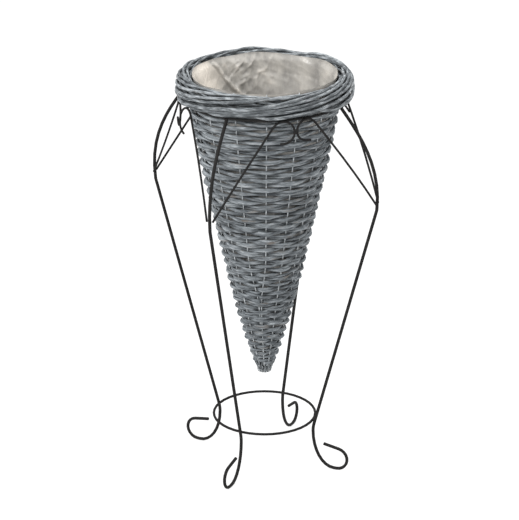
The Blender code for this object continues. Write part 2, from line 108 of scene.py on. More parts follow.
def with_buds(rng, along, thick, count, half_length):
    """A rod's radius, swollen by some buds."""
    for bud in rng.uniform(0.0, along[-1], count):
        thick = thick * (1 + BUD_SWELL_SHARE * bell(along - bud, half_length))
    return thick


def polar(radius, azimuth, height):
    """Points from radii, azimuths in degrees and heights."""
    turn = np.radians(azimuth)
    return np.stack([radius * np.cos(turn), radius * np.sin(turn), height + 0 * turn], -1)


def degrees_from(azimuth, middle):
    """How far an azimuth lies from middle, from -180 to 180."""
    return (azimuth - middle + 180.0) % 360.0 - 180.0


def lengths_along(path):
    return np.concatenate([[0.0], np.cumsum(np.linalg.norm(np.diff(path, axis=0), axis=1))])


def wall_share(height):
    return (height - TIP_HEIGHT) / (WALL_TOP_HEIGHT - TIP_HEIGHT)


def wall_radius(height):
    share = np.clip(wall_share(height), 0.0, None)
    return TIP_RADIUS + (WALL_TOP_RADIUS - TIP_RADIUS) * share ** WALL_WIDENING


def mid_radius(height):
    return wall_radius(height) - WALL_THICKNESS / 2


def rim_dip(azimuth):
    middle, spread, depth = RIM_DIP
    return depth * bell(degrees_from(azimuth, middle), spread)


def add_piece(name, mesh, material, body, replaces=()):
    """Makes a smooth piece of a mesh. It rides a body and may replace nodes."""
    mesh.polygons.foreach_set("use_smooth", [True] * len(mesh.polygons))
    mesh.materials.append(material)
    mesh.update()
    piece = bpy.data.objects.new(name, mesh)
    bpy.context.scene.collection.objects.link(piece)
    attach(piece, body)
    if replaces:
        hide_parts(*replaces)
    return piece


def with_ends(values, share=1.0):
    """Values along a rod with the first and last once more, times a share."""
    return np.concatenate([values[:1] * share, values, values[-1:] * share])


class Strands:
    """Round rods gathered into one mesh. Each keeps a tone of its own, a depth for painted shade, and
    coordinates for its grain.
    """

    def __init__(self):
        self.points, self.faces, self.grain, self.tones_and_shade = [], [], [], []
        self.count = 0
        self.offset = 0.0

    def add(self, path, radius, sides, rng, outer=None, depth=0.0, up=(0.0, 0.0, 1.0), lumps=0.0,
            dark=0.0):
        """One closed rod along path. radius, up, outer and depth may change from point to point. Its
        colours keep a random tone and wear, and how deep each corner lies, which sets painted shade in
        recesses: under outer, or depth."""
        path = np.asarray(path, float)
        n = len(path)
        radius = np.broadcast_to(np.asarray(radius, float), (n,))
        depth = np.broadcast_to(np.asarray(depth, float), (n,))
        tangent = np.gradient(path, axis=0)
        tangent /= np.linalg.norm(tangent, axis=1)[:, None]
        side = np.cross(tangent, np.broadcast_to(np.asarray(up, float), (n, 3)))
        side /= np.linalg.norm(side, axis=1)[:, None]
        over = with_ends(np.cross(side, tangent))
        side = with_ends(side)
        along = with_ends(lengths_along(path))
        path = np.concatenate([path[:1] - tangent[:1] * radius[0] * CUT_REACH_SHARE, path,
                               path[-1:] + tangent[-1:] * radius[-1] * CUT_REACH_SHARE])
        radius = with_ends(radius, CUT_WIDTH_SHARE)
        n += 2
        turn = np.arange(sides) * 2 * pi / sides
        swell = np.ones((n, sides))
        if lumps:
            swell += rng.normal(0.0, lumps, (n, sides))
            swell += rng.normal(0.0, RIDGE_SHARE * lumps, sides)[None, :]
        reach = radius[:, None] * swell
        out = np.cos(turn)[None, :, None] * side[:, None, :] + np.sin(turn)[None, :, None] * over[:, None, :]
        points = path[:, None, :] + out * reach[:, :, None]
        self.points.append(np.concatenate([points.reshape(-1, 3), path[:1], path[-1:]]))
        self.add_faces(n, sides)
        width = radius.max()
        grain = np.stack([np.broadcast_to(np.cos(turn) * width, (n, sides)),
                          np.broadcast_to(np.sin(turn) * width, (n, sides)),
                          np.broadcast_to(along[:, None] + self.offset, (n, sides))], -1).reshape(-1, 3)
        self.grain.append(np.concatenate([grain, grain[:1], grain[-1:]]))
        colour = np.ones((n, sides, 4))
        colour[..., 0] = rng.uniform() * (1.0 - dark)
        colour[..., 1] = rng.uniform()
        # Blue holds how deep each corner lies, which sets the painted shade of recesses.
        colour[..., 2] = with_ends(depth)[:, None]
        if outer is not None:
            under = with_ends(outer)[:, None] - np.hypot(points[..., 0], points[..., 1])
            colour[..., 2] = np.clip(under / WALL_THICKNESS, 0.0, 1.0)
        colour = colour.reshape(-1, 4)
        # A fully transparent colour marks the bare wood of a cut end.
        caps = np.concatenate([colour[:1], colour[-1:]]) * (1.0, 1.0, 1.0, 0.0)
        self.tones_and_shade.append(np.concatenate([colour, caps]))
        self.offset += along[-1] + GRAIN_GAP

    def add_faces(self, rings, sides):
        """Faces round a rod of so many rings, and fans that close its two ends."""
        index = self.count + np.arange(rings * sides).reshape(rings, sides)
        after = np.roll(index, -1, axis=1)
        quads = np.stack([index[:-1], after[:-1], after[1:], index[1:]], -1).reshape(-1, 4)
        start = self.count + rings * sides
        end = start + 1
        self.faces += quads.tolist()
        self.faces += [(start, b, a) for a, b in zip(index[0].tolist(), after[0].tolist())]
        self.faces += [(end, a, b) for a, b in zip(index[-1].tolist(), after[-1].tolist())]
        self.count += rings * sides + 2

    def build(self, name, material, slot, replaces=(), lean=0.0):
        points = np.concatenate(self.points)
        points[:, 0] -= lean * np.clip(wall_share(points[:, 2]), 0.0, 1.0)
        mesh = bpy.data.meshes.new(name)
        mesh.from_pydata(points.tolist(), [], self.faces)
        grain = mesh.attributes.new("grain", "FLOAT_VECTOR", "POINT")
        grain.data.foreach_set("vector", np.concatenate(self.grain).astype(np.float32).ravel())
        # Tone, wear, depth for painted shade, and bare ends of each corner.
        tone_and_shade = mesh.attributes.new("tone_and_shade", "FLOAT_COLOR", "POINT")
        tone_and_shade.data.foreach_set("color", np.concatenate(self.tones_and_shade).astype(np.float32).ravel())
        add_piece(name, mesh, material, "basket", replaces)


# Materials.

class Nodes:
    """A short way to write the node tree of a material or of the world."""

    def __init__(self, owner, output="OutputMaterial"):
        owner.use_nodes = True
        self.owner = owner
        self.tree = owner.node_tree
        self.tree.nodes.clear()
        self.output = self.add(output)

    def add(self, kind, inputs=(), **settings):
        node = self.tree.nodes.new("ShaderNode" + kind)
        for key, value in settings.items():
            setattr(node, key, value)
        for key, value in dict(inputs).items():
            if isinstance(value, bpy.types.NodeSocket):
                self.tree.links.new(value, node.inputs[key])
            else:
                node.inputs[key].default_value = value
        return node

    def attribute(self, name):
        return self.add("Attribute", attribute_name=name)

    def place(self):
        return self.add("TexCoord").outputs["Object"]

    def noise(self, vector, scales, detail=3.0, roughness=0.5):
        """Noise of so many grains to a metre in each of three directions."""
        scaled = self.add("Mapping", {"Vector": vector, "Scale": scales}).outputs[0]
        return self.add("TexNoise", {"Vector": scaled, "Scale": 1.0, "Detail": detail,
                                     "Roughness": roughness}).outputs["Fac"]

    def math(self, operation, *values):
        return self.add("Math", dict(enumerate(values)), operation=operation).outputs[0]

    def weighted(self, total, *terms):
        """total and the sum of some values, each times its weight."""
        for value, weight in terms:
            total = self.math("ADD", total, self.math("MULTIPLY", value, weight))
        return total

    def between(self, value, low, high, to_low=0.0, to_high=1.0):
        return self.add("MapRange", {"Value": value, "From Min": low, "From Max": high,
                                     "To Min": to_low, "To Max": to_high}).outputs[0]

    def ramp(self, value, *stops):
        node = self.add("ValToRGB", {"Fac": value})
        elements = node.color_ramp.elements
        while len(elements) < len(stops):
            elements.new(0.5)
        for element, (place, colour) in zip(elements, stops):
            element.position = place
            element.color = (*colour, 1.0)
        return node.outputs["Color"]

    def mix(self, share, colour, other):
        """A colour turned to another, plain one by a share."""
        return self.add("Mix", {0: share, 6: colour, 7: (*other, 1.0)}, data_type="RGBA").outputs[2]

    def bump(self, height, strength, distance):
        return self.add("Bump", {"Height": height, "Strength": strength,
                                 "Distance": distance}).outputs[0]

    def background_rays(self):
        """1 for rays that show the background: from the camera, or by way of gloss or glass."""
        rays = self.add("LightPath").outputs
        seen = self.math("MAXIMUM", rays["Is Camera Ray"], rays["Is Glossy Ray"])
        return self.math("MAXIMUM", seen, rays["Is Transmission Ray"])

    def surface(self, shader):
        self.tree.links.new(shader.outputs[0], self.output.inputs["Surface"])
        return self.owner


# Bark: grains to a metre across a rod, twice, and along it.
STREAK_SCALES = (430.0, 430.0, 62.0)
LINE_SCALES = (1300.0, 1300.0, 130.0)
PATCH_SCALES = (90.0, 90.0, 48.0)
WORN_SCALES = (150.0, 150.0, 26.0)
WORN_COLOUR = (0.20, 0.145, 0.10)
BARE_WOOD = (0.42, 0.37, 0.29)
# Painted shade in recesses: its colour as a share of the middle colour, and how much of it at most.
PAINTED_RECESS_SHADE = 0.16
PAINTED_RECESS_SHADE_SHARE = 0.60


def willow_material(name, dark, middle, light, worn_share):
    """Grey-washed willow: long streaks in the bark, a tone for each rod, worn patches, and painted shade in
    recesses.
    """
    n = Nodes(bpy.data.materials.new(name))
    grain = n.attribute("grain").outputs["Vector"]
    own = n.attribute("tone_and_shade")
    tone_and_shade = n.add("SeparateColor", {"Color": own.outputs["Color"]}).outputs
    streaks = n.noise(grain, STREAK_SCALES, roughness=0.6)
    lines = n.noise(grain, LINE_SCALES, roughness=0.6)
    patches = n.noise(grain, PATCH_SCALES)
    value = n.weighted(n.math("MULTIPLY", streaks, 0.80), (lines, 0.42), (patches, 0.55), (tone_and_shade["Red"], 0.16))
    colour = n.ramp(n.between(value, 0.73, 1.19), (0.0, dark), (0.48, middle), (1.0, light))
    worn = n.weighted(n.noise(grain, WORN_SCALES, 4.0, 0.65), (tone_and_shade["Green"], 0.12))
    colour = n.mix(n.between(worn, 0.66, 0.78, 0.0, worn_share), colour, WORN_COLOUR)
    painted_shade_share = n.between(tone_and_shade["Blue"], 0.36, 1.0, 0.0, PAINTED_RECESS_SHADE_SHARE)
    colour = n.mix(painted_shade_share, colour, [PAINTED_RECESS_SHADE * part for part in middle])
    bare = n.math("SUBTRACT", 1.0, own.outputs["Alpha"])
    colour = n.mix(n.between(bare, 0.1, 0.9, 0.0, 0.7), colour, BARE_WOOD)
    return n.surface(n.add("BsdfPrincipled", {
        "Base Color": colour,
        "Roughness": n.between(streaks, 0.3, 0.7, 0.66, 0.50),
        "Specular IOR Level": 0.22,
        "Normal": n.bump(n.weighted(streaks, (lines, 0.6)), 0.6, 0.9 * MM)}))


PAINT_MOTTLE_SCALES = (160.0, 160.0, 40.0)
PAINT_GRIT_SCALES = (1500.0, 1500.0, 1500.0)
PAINT_DARK = (0.0150, 0.0145, 0.0145)
PAINT_LIGHT = (0.0235, 0.0225, 0.0220)


def paint_material(name):
    """Dull black paint on wire: small runs and a slight change of gloss."""
    n = Nodes(bpy.data.materials.new(name))
    place = n.place()
    mottle = n.noise(place, PAINT_MOTTLE_SCALES)
    grit = n.noise(place, PAINT_GRIT_SCALES, 2.0)
    return n.surface(n.add("BsdfPrincipled", {
        "Base Color": n.ramp(mottle, (0.3, PAINT_DARK), (0.7, PAINT_LIGHT)),
        "Roughness": n.between(mottle, 0.3, 0.7, 0.55, 0.68),
        "Specular IOR Level": 0.05,
        "Normal": n.bump(n.weighted(mottle, (grit, 0.25)), 0.3, 0.25 * MM)}))


WIRE_STAIN_SCALES = (240.0, 240.0, 240.0)
WIRE_STAINED = (0.21, 0.225, 0.23)
WIRE_RUBBED = (0.55, 0.58, 0.60)


def wire_material(name):
    """Galvanised stake wire, stained by the grey wash and rubbed light."""
    n = Nodes(bpy.data.materials.new(name))
    stains = n.noise(n.place(), WIRE_STAIN_SCALES, 4.0, 0.6)
    return n.surface(n.add("BsdfPrincipled", {
        "Base Color": n.ramp(stains, (0.34, WIRE_STAINED), (0.64, WIRE_RUBBED)),
        "Metallic": 0.1,
        "Roughness": n.between(stains, 0.3, 0.7, 0.55, 0.40),
        "Normal": n.bump(stains, 0.25, 0.2 * MM)}))


FILM_CLOUD_SCALES = (26.0, 26.0, 20.0)
FILM_FINE_SCALES = (110.0, 110.0, 60.0)
# Painted light and shade of the film, from where it lies on the weave to where it stands off it.
FILM_PAINTED_SHADE_ON_WEAVE = (0.27, 0.26, 0.245)
FILM_PAINTED_HALF_SHADE_NEAR_WEAVE = (0.45, 0.43, 0.395)
FILM_PAINTED_LIGHT_OFF_WEAVE = (0.90, 0.83, 0.74)
FILM_MILK = (0.74, 0.71, 0.66)
FILM_PAINTED_DEEP_SHADE = (0.05, 0.05, 0.05)
# Between these heights the film darkens downwards: painted shade deep in the cone.
FILM_PAINTED_SHADE_HEIGHTS = (0.60, 0.67)


def film_material(name):
    """Thin film gone milky, with painted light and shade: warm and pale where it stands off the weave, greyer
    where it lies on it, and darker deep in the cone.
    """
    n = Nodes(bpy.data.materials.new(name))
    place = n.place()
    clouds = n.noise(place, FILM_CLOUD_SCALES)
    fine = n.noise(place, FILM_FINE_SCALES, 5.0, 0.6)
    painted_light_and_shade = n.attribute("painted_light_and_shade").outputs["Fac"]
    painted_light_and_clouds = n.math("ADD", painted_light_and_shade, n.between(clouds, 0.3, 0.7, -0.16, 0.16))
    colour = n.ramp(painted_light_and_clouds, (0.0, FILM_PAINTED_SHADE_ON_WEAVE), (0.40, FILM_PAINTED_HALF_SHADE_NEAR_WEAVE), (1.0, FILM_PAINTED_LIGHT_OFF_WEAVE))
    height = n.add("SeparateXYZ", {"Vector": place}).outputs["Z"]
    colour = n.mix(n.between(height, *FILM_PAINTED_SHADE_HEIGHTS, 0.65, 0.0), colour, FILM_PAINTED_DEEP_SHADE)
    colour = n.mix(n.between(fine, 0.42, 0.75, 0.0, 0.25), colour, FILM_MILK)
    return n.surface(n.add("BsdfPrincipled", {
        "Base Color": colour,
        "Roughness": n.between(fine, 0.3, 0.7, 0.34, 0.18),
        "Specular IOR Level": 0.50,
        "Normal": n.bump(fine, 0.4, 1.2 * MM)}))


willow = willow_material("grey_willow", (0.058, 0.065, 0.072), (0.186, 0.205, 0.219),
                         (0.412, 0.442, 0.462), 0.50)
border_willow = willow_material("grey_willow_border", (0.032, 0.036, 0.040), (0.107, 0.118, 0.126),
                                (0.400, 0.428, 0.446), 0.25)
paint = paint_material("painted_wire")
wire = wire_material("stake_wire")
film = film_material("film")


# The stakes.

FIRST_STAKE_AZIMUTH = -88.0
STAKE_WIRE = 2.3 * MM
# Stakes stand this far outside the middle of the wall.
STAKE_OUT = 0.3 * MM
# Their upper ends are hidden in the border, but for some that come out of it near the mouth.
STAKE_END_HEIGHT = 746.0 * MM
STAKE_END_RADIUS = 139.5 * MM
STAKE_ENDS_OUT = {0: 13.5 * MM, 1: 13.0 * MM, 12: 12.0 * MM, 14: 13.5 * MM}
# Towards the tip the stakes drift by so many degrees, below DRIFT_TOP and in full from DRIFT_FOOT down.
STAKE_DRIFTS = (-10.0, -2.5, 11.0, -13.0, -3.0, 4.0, 12.0, -12.0, -4.0, 2.0, 12.0, -12.0, -3.0, 4.0, 14.0)
DRIFT_TOP = 0.43
DRIFT_FOOT = 0.30
# Some then stand in pairs. Below PAIR_ROW a pair is woven as one, and its second wire ends early.
PAIR_SECONDS = (14, 3, 7, 11)
PAIR_ROW = 15
SECOND_WIRE_FOOT = 0.287
# The wires of a pair, and one more, stand this far to the side, and move there over twice PAIR_REACH.
PAIR_SIDES = {0: 1.5 * MM, 14: -1.5 * MM, 2: 1.5 * MM, 3: -1.5 * MM, 6: 1.5 * MM, 7: -1.5 * MM,
              10: 1.5 * MM, 11: -1.5 * MM, 13: 1.5 * MM}
PAIR_REACH = 20 * MM
STAKE_STEPS = 80
# A direction that no stake runs in.
STAKE_UP = (0.3, 0.2, 0.05)


def stake_azimuth(index, height):
    share = 1.0 - smooth_share(height, DRIFT_FOOT, DRIFT_TOP)
    return FIRST_STAKE_AZIMUTH + 360.0 * index / STAKE_COUNT + STAKE_DRIFTS[index] * share


def add_stakes():
    rng = np.random.default_rng(SEED + 4)
    pair_height = row_height(PAIR_ROW)
    for index in range(STAKE_COUNT):
        node = f"stake_{index + 1:02d}"
        foot = SECOND_WIRE_FOOT if index in PAIR_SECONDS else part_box(node)[0].z
        heights = np.linspace(STAKE_END_HEIGHT + STAKE_ENDS_OUT.get(index, 0.0), foot, STAKE_STEPS)
        near = 1.0 - smooth_share(heights, pair_height - PAIR_REACH, pair_height + PAIR_REACH)
        radius = mid_radius(np.minimum(heights, WALL_TOP_HEIGHT)) + STAKE_OUT
        radius += (STAKE_END_RADIUS - radius) * smooth_share(heights, WALL_TOP_HEIGHT, STAKE_END_HEIGHT)
        azimuth = stake_azimuth(index, heights) + np.degrees(PAIR_SIDES.get(index, 0.0) * near / radius)
        strands = Strands()
        strands.add(polar(radius, azimuth, heights), STAKE_WIRE / 2, 8, rng, up=STAKE_UP)
        strands.build(f"wire_{index + 1:02d}", wire, "stake_wire", [node], WALL_LEAN)


# The weave.

# Rows of two rods, each row a turn of one rising spiral. Rows are counted from WEAVE_HEIGHT.
WEAVE_HEIGHT = 0.2155
WEAVE_PITCH = 7.6 * MM
WEAVE_GROWTH_SHARE = 0.0042
WEAVE_FIRST_ROW = -2
WEAVE_LAST_ROW = 58
WEAVE_TOP = 0.7165
WEAVE_PIECES = 6
# A rod's radius over a quarter of the pitch, as made and at most, and how much it tapers.
ROD_FULLNESS = 1.22
ROD_MOST = 1.42
ROD_BUTT = 1.14
ROD_TAPER = 0.30
ROD_LENGTH = 0.9
ROD_BUD_SPACING = 70 * MM
ROD_BUD_HALF_LENGTH = 2.2 * MM
ROD_SIDES = 8
ROD_LUMPS = 0.05
# Points on a rod from one stake to the next: fewer near the tip, inside this radius.
ROD_STEPS = 16
ROD_STEPS_NEAR_TIP = 10
NEAR_TIP_RADIUS = 50 * MM
# Where the basket is thinner than this the rods bend less round the stakes, but by this share at least.
FULL_RELIEF_RADIUS = 35 * MM
LEAST_RELIEF_SHARE = 0.45
SQUEEZE_IN_FRONT = 0.12
# Rods near the tip are darker.
DARK_AT_TIP = 0.8
# How rods wander: the length over which an offset changes, and its size.
EXCHANGE_WANDER = (65 * MM, 2.4)
ROW_WANDER = (60 * MM, 0.9 * MM)
ROD_THICK_WANDERS = ((50 * MM, 0.10), (14 * MM, 0.07))
ROD_LIFT_WANDERS = ((45 * MM, 0.9 * MM), (18 * MM, 0.6 * MM))
ROD_PUSH_WANDER = (30 * MM, 0.6 * MM)


def row_pitch(row):
    return WEAVE_PITCH * np.exp(WEAVE_GROWTH_SHARE * row)


def row_height(row):
    return WEAVE_HEIGHT + WEAVE_PITCH / WEAVE_GROWTH_SHARE * (np.exp(WEAVE_GROWTH_SHARE * row) - 1.0)


def weave_stations():
    """Where the spiral passes the stakes, from the tip up: unwound azimuth, height, row pitch and side."""
    stations = []
    side = -1.0
    for turn in range(WEAVE_FIRST_ROW, WEAVE_LAST_ROW + 1):
        for index in range(STAKE_COUNT):
            if turn < PAIR_ROW and index in PAIR_SECONDS:
                continue
            row = turn + index / STAKE_COUNT
            height = row_height(row)
            if height < WEAVE_TOP:
                stations.append((360.0 * turn + stake_azimuth(index, height), height, row_pitch(row), side))
                side = -side
    return np.array(stations)


def rod_spans(rng, run, sides):
    """The first and last station of one rod after another. A rod is as long as willow grows, and both
    its ends lie on the inner side."""
    last = len(run) - 1
    start = 0
    while start < last - 1:
        length = ROD_LENGTH * rng.uniform(0.7, 1.3)
        end = min(int(np.searchsorted(run, run[start] + length)), last)
        while end < last and sides[end] > 0:
            end += 1
        yield start, end
        start = end


def places_between(start, end, middles):
    """Closely spaced places from one station to another, counted in stations."""
    places = [np.linspace(station, station + 1,
                          ROD_STEPS_NEAR_TIP if middles[station] < NEAR_TIP_RADIUS else ROD_STEPS,
                          endpoint=False) for station in range(start, end)]
    return np.concatenate(places + [[end]])


def add_weave():
    rng = np.random.default_rng(SEED)
    azimuths, heights, pitches, sides = weave_stations().T
    stations = np.arange(len(azimuths))
    middles = mid_radius(heights)
    run = lengths_along(polar(middles, azimuths, heights))
    # Courses that both rods of a row share: now and then they change places, and the row wanders.
    exchange = np.clip(wander(rng, run, *EXCHANGE_WANDER), -1.0, 1.0)
    row_wander = wander(rng, run, *ROW_WANDER)
    bands = [Strands() for _ in range(WEAVE_PIECES)]
    for rod in (1.0, -1.0):
        for start, end in rod_spans(rng, run, sides):
            at = places_between(start, end, middles)
            azimuth, height, pitch, order, row_lift = [
                np.interp(at, stations, values)
                for values in (azimuths, heights, pitches, rod * exchange, row_wander)]
            low = np.minimum(at.astype(int), len(stations) - 2)
            share = (1 - np.cos(pi * (at - low))) / 2
            side = sides[low] * (1 - share) + sides[low + 1] * share
            middle = mid_radius(height)
            along = lengths_along(polar(middle, azimuth, height))
            thick = pitch / 4 * ROD_FULLNESS * rng.uniform(0.90, 1.10)
            thick = thick * (ROD_BUTT - ROD_TAPER * along / along[-1])
            thick = thick * (1 + wanders(rng, along, ROD_THICK_WANDERS))
            thick = with_buds(rng, along, thick, int(along[-1] / ROD_BUD_SPACING), ROD_BUD_HALF_LENGTH)
            thick = np.minimum(thick, pitch / 4 * ROD_MOST)
            lift = order * pitch / 4 * (1 - SQUEEZE_IN_FRONT * np.maximum(side, 0.0))
            lift += row_lift + wanders(rng, along, ROD_LIFT_WANDERS)
            relief = np.clip(middle / FULL_RELIEF_RADIUS, LEAST_RELIEF_SHARE, 1.0)
            reach = (STAKE_WIRE / 2 + thick) * relief
            # Where the two rods change places, one passes outside the other.
            push = side * reach + rod * 0.5 * thick * np.sqrt(1 - order * order)
            push += wander(rng, along, *ROD_PUSH_WANDER)
            up_share = (heights[start] - heights[0]) / (heights[-1] - heights[0])
            band = bands[min(int(up_share * WEAVE_PIECES), WEAVE_PIECES - 1)]
            band.add(polar(middle + push, azimuth, height + lift), thick, ROD_SIDES, rng,
                     outer=middle + reach + thick, lumps=ROD_LUMPS, dark=DARK_AT_TIP * (1 - up_share))
    for number, band in enumerate(bands):
        band.build(f"weave_band_{number + 1}", willow, "grey_willow", () if number else ["woven_wall"],
                   WALL_LEAN)


# The border.

# A course gives degrees run, radius and height of a rod's middle line.
ROD_COURSE = ((-12, 0.1500, 0.7235), (0, 0.1560, 0.7185), (24, 0.1572, 0.7260), (62, 0.1573, 0.7380),
              (93, 0.1560, 0.7480), (112, 0.1525, 0.7545), (136, 0.1460, 0.7570), (158, 0.1395, 0.7555),
              (172, 0.1341, 0.7500), (196, 0.1324, 0.7440))
ROD_COURSE_STEPS = 130
UNDER_COURSE = ((0, 0.1345, 0.7400), (12, 0.1360, 0.7480), (26, 0.1405, 0.7535), (42, 0.1470, 0.7530),
                (56, 0.1515, 0.7480), (74, 0.1530, 0.7400), (104, 0.1525, 0.7270))
UNDER_COURSE_STEPS = 80
# Points over which a course's corners are eased.
COURSE_EASE_POINTS = 9
BORDER_ROD = 5.3 * MM
BORDER_ROD_SIDES = 10
BORDER_BUDS = 4
BORDER_BUD_HALF_LENGTH = 2.5 * MM
UNDER_ROD = 5.2 * MM
# Each rod crests CREST_RUN degrees into its course. The first ones are placed by the photograph: how far
# their crests drift round the rim and how high they arch, over so many degrees each way.
CREST_RUN = 136.0
FIRST_CREST = 102.7
CREST_DRIFTS = (0.0, -1.4, -5.2)
CREST_ARCHES = (4.2 * MM, 1.0 * MM, 3.6 * MM)
CREST_SPREAD = 15.0
# At the front the lowest rods lie higher and leave the stand's ring to be seen.
FRONT_RISE = 2.4 * MM
FRONT_RISE_END = 60.0
# The rim's dip takes up a rod between these degrees of its course.
DIP_RUN = (80.0, 120.0)
# A rod that climbs faster crosses over the others by this much of its gain.
CROSSING_REACH = 5.0 * MM
BORDER_LIFT_WANDERS = ((80 * MM, 1.1 * MM), (30 * MM, 0.5 * MM))
BORDER_REACH_WANDER = (70 * MM, 0.6 * MM)
BORDER_THICK_WANDER = (30 * MM, 0.07)
UNDER_LIFT_WANDER = (50 * MM, 0.9 * MM)
# Under rods show in the crossing at the top, and lie in the dark behind the outer side's rods, which is
# painted shade: how deep they lie at first, how much deeper then, and between which degrees of their course
# that changes.
UNDER_PAINTED_SHADE = 0.36
UNDER_MORE_PAINTED_SHADE = 0.60
UNDER_PAINTED_SHADE_RUN = (54, 74)
# Rings of rod inside the roll: radius, height and half the thickness.
CORE_RINGS = ((0.1385, 0.7350, 2.4 * MM), (0.1450, 0.7310, 2.6 * MM), (0.1480, 0.7375, 2.6 * MM),
              (0.1400, 0.7285, 2.4 * MM), (0.1430, 0.7400, 2.2 * MM), (0.1475, 0.7265, 2.2 * MM),
              (0.1505, 0.7320, 2.4 * MM), (0.1500, 0.7430, 2.0 * MM), (0.1440, 0.7465, 2.0 * MM),
              (0.1515, 0.7265, 2.4 * MM), (0.1500, 0.7225, 2.2 * MM), (0.1450, 0.7215, 2.2 * MM))
CORE_RING_TURN = 372.0
CORE_RING_STEPS = 120
CORE_RING_RISE = 0.8 * MM
CORE_REACH_WANDER = (100 * MM, 0.5 * MM)
CORE_LIFT_WANDER = (100 * MM, 0.6 * MM)


def course_points(course, steps):
    """Degrees run, radius and height of evenly spaced points on a course, eased round its corners."""
    run, radius, height = np.array(course).T
    at = np.linspace(run[0], run[-1], steps)
    weights = np.hanning(COURSE_EASE_POINTS + 2)[1:-1]
    weights = weights / weights.sum()
    reach = COURSE_EASE_POINTS // 2
    eased = [np.convolve(np.pad(np.interp(at, run, values), reach, mode="reflect", reflect_type="odd"),
                         weights, mode="valid") for values in (radius, height)]
    return at, *eased


def add_border_rod(strands, rng, index):
    """A rod that climbs the outer side, crests on the rim and goes down inside the mouth."""
    drift = CREST_DRIFTS[index] if index < len(CREST_DRIFTS) else rng.uniform(-2.5, 2.5)
    arch = CREST_ARCHES[index] if index < len(CREST_ARCHES) else rng.uniform(-1.0, 1.6) * MM
    start = FIRST_CREST - CREST_RUN - 360.0 * index / STAKE_COUNT + drift
    run, radius, height = course_points(ROD_COURSE, ROD_COURSE_STEPS)
    pace = rng.uniform(0.86, 1.16)
    run = CREST_RUN + (run - CREST_RUN) * pace
    along = lengths_along(polar(radius, run, height))
    height = height + arch * bell(run - CREST_RUN, CREST_SPREAD)
    front = np.maximum(-np.sin(np.radians(start + run)), 0.0) ** 2
    height += FRONT_RISE * front * (1.0 - smooth_share(run, 0.0, FRONT_RISE_END))
    height -= rim_dip(start + run) * smooth_share(run, *DIP_RUN)
    height += wanders(rng, along, BORDER_LIFT_WANDERS)
    radius = radius + wander(rng, along, *BORDER_REACH_WANDER) + (1.0 - pace) * CROSSING_REACH
    thick = BORDER_ROD / 2 * rng.uniform(0.90, 1.08) * (1.10 - 0.26 * along / along[-1])
    thick = thick * (1 + wander(rng, along, *BORDER_THICK_WANDER))
    thick = with_buds(rng, along, thick, BORDER_BUDS, BORDER_BUD_HALF_LENGTH)
    last = len(run) - int(rng.uniform(0, 10))
    strands.add(polar(radius, start + run, height)[:last], thick[:last], BORDER_ROD_SIDES, rng, lumps=0.03)


def add_under_rod(strands, rng, index):
    """A rod that comes up inside the mouth and goes down under the others."""
    run, radius, height = course_points(UNDER_COURSE, UNDER_COURSE_STEPS)
    along = lengths_along(polar(radius, run, height))
    thick = UNDER_ROD / 2 * rng.uniform(0.82, 1.08) * (1.05 - 0.2 * along / along[-1])
    height = height + wander(rng, along, *UNDER_LIFT_WANDER)
    start = FIRST_CREST + 360.0 * index / STAKE_COUNT + rng.uniform(-5, 5)
    height = height - rim_dip(start + run)
    # How deep each part lies, for its painted shade.
    depth = UNDER_PAINTED_SHADE + UNDER_MORE_PAINTED_SHADE * smooth_share(run, *UNDER_PAINTED_SHADE_RUN)
    strands.add(polar(radius, start + run, height), thick, ROD_SIDES, rng, depth=depth, lumps=0.03)


def add_border():
    rng = np.random.default_rng(SEED + 1)
    over = Strands()
    under = Strands()
    for index in range(STAKE_COUNT):
        add_border_rod(over, rng, index)
        add_under_rod(under, rng, index)
    for radius, height, thick in CORE_RINGS:
        turn = np.linspace(0.0, CORE_RING_TURN, CORE_RING_STEPS)
        along = np.radians(turn) * radius
        path = polar(radius + wander(rng, along, *CORE_REACH_WANDER), turn + rng.uniform(0, 360),
                     height + wander(rng, along, *CORE_LIFT_WANDER) + turn / 360 * CORE_RING_RISE)
        # Core rings lie deepest, with full painted shade.
        under.add(path, thick, ROD_SIDES, rng, depth=1.0, lumps=0.02)
    over.build("border_rods", border_willow, "grey_willow", ["rolled_border"])
    under.build("border_under_rods", border_willow, "grey_willow")


# The tip.

# Outer radii of the bunched ends below the weave, by height over the tip's foot.
TIP_OUTLINE = ((1.0 * MM, 8.2 * MM), (2.2 * MM, 11.4 * MM), (3.4 * MM, 12.9 * MM), (9.5 * MM, 13.6 * MM),
               (15.5 * MM, 16.2 * MM), (21.5 * MM, 19.2 * MM), (38.0 * MM, 24.0 * MM))
# Layers of rod ends from the outside in: share of the outline and number of ends. Their feet are ragged.
TIP_LAYERS = ((0.88, 34), (0.72, 26), (0.50, 18), (0.30, 9), (0.14, 5))
TIP_END = 1.3 * MM
TIP_END_HEAD = 34.0 * MM
TIP_FEET = (1.2 * MM, 2.6 * MM)
# Short ends on the bunch and wires among them: number, half the thickness, heights of their feet, length.
TIP_SHORT_ENDS = 150
TIP_SHORT_THICK = (0.6 * MM, 0.95 * MM)
TIP_SHORT_FEET = (2.4 * MM, 22.0 * MM)
TIP_SHORT_LENGTHS = (4.0 * MM, 8.0 * MM)
# Short ends get one of these shares of painted shade.
TIP_SHORT_PAINTED_SHADES = (0.0, 0.4, 0.8)
TIP_WIRE_ENDS = 24
TIP_WIRE_THICK = 0.7 * MM
TIP_WIRE_FEET = (1.6 * MM, 2.8 * MM)
TIP_WIRE_LENGTHS = (4.0 * MM, 7.0 * MM)
TIP_SCRAPS = 36
TIP_SCRAP_THICK = 0.6 * MM
TIP_SCRAP_FEET = (7.0 * MM, 19.0 * MM)
TIP_SCRAP_LENGTHS = (2.0 * MM, 4.0 * MM)
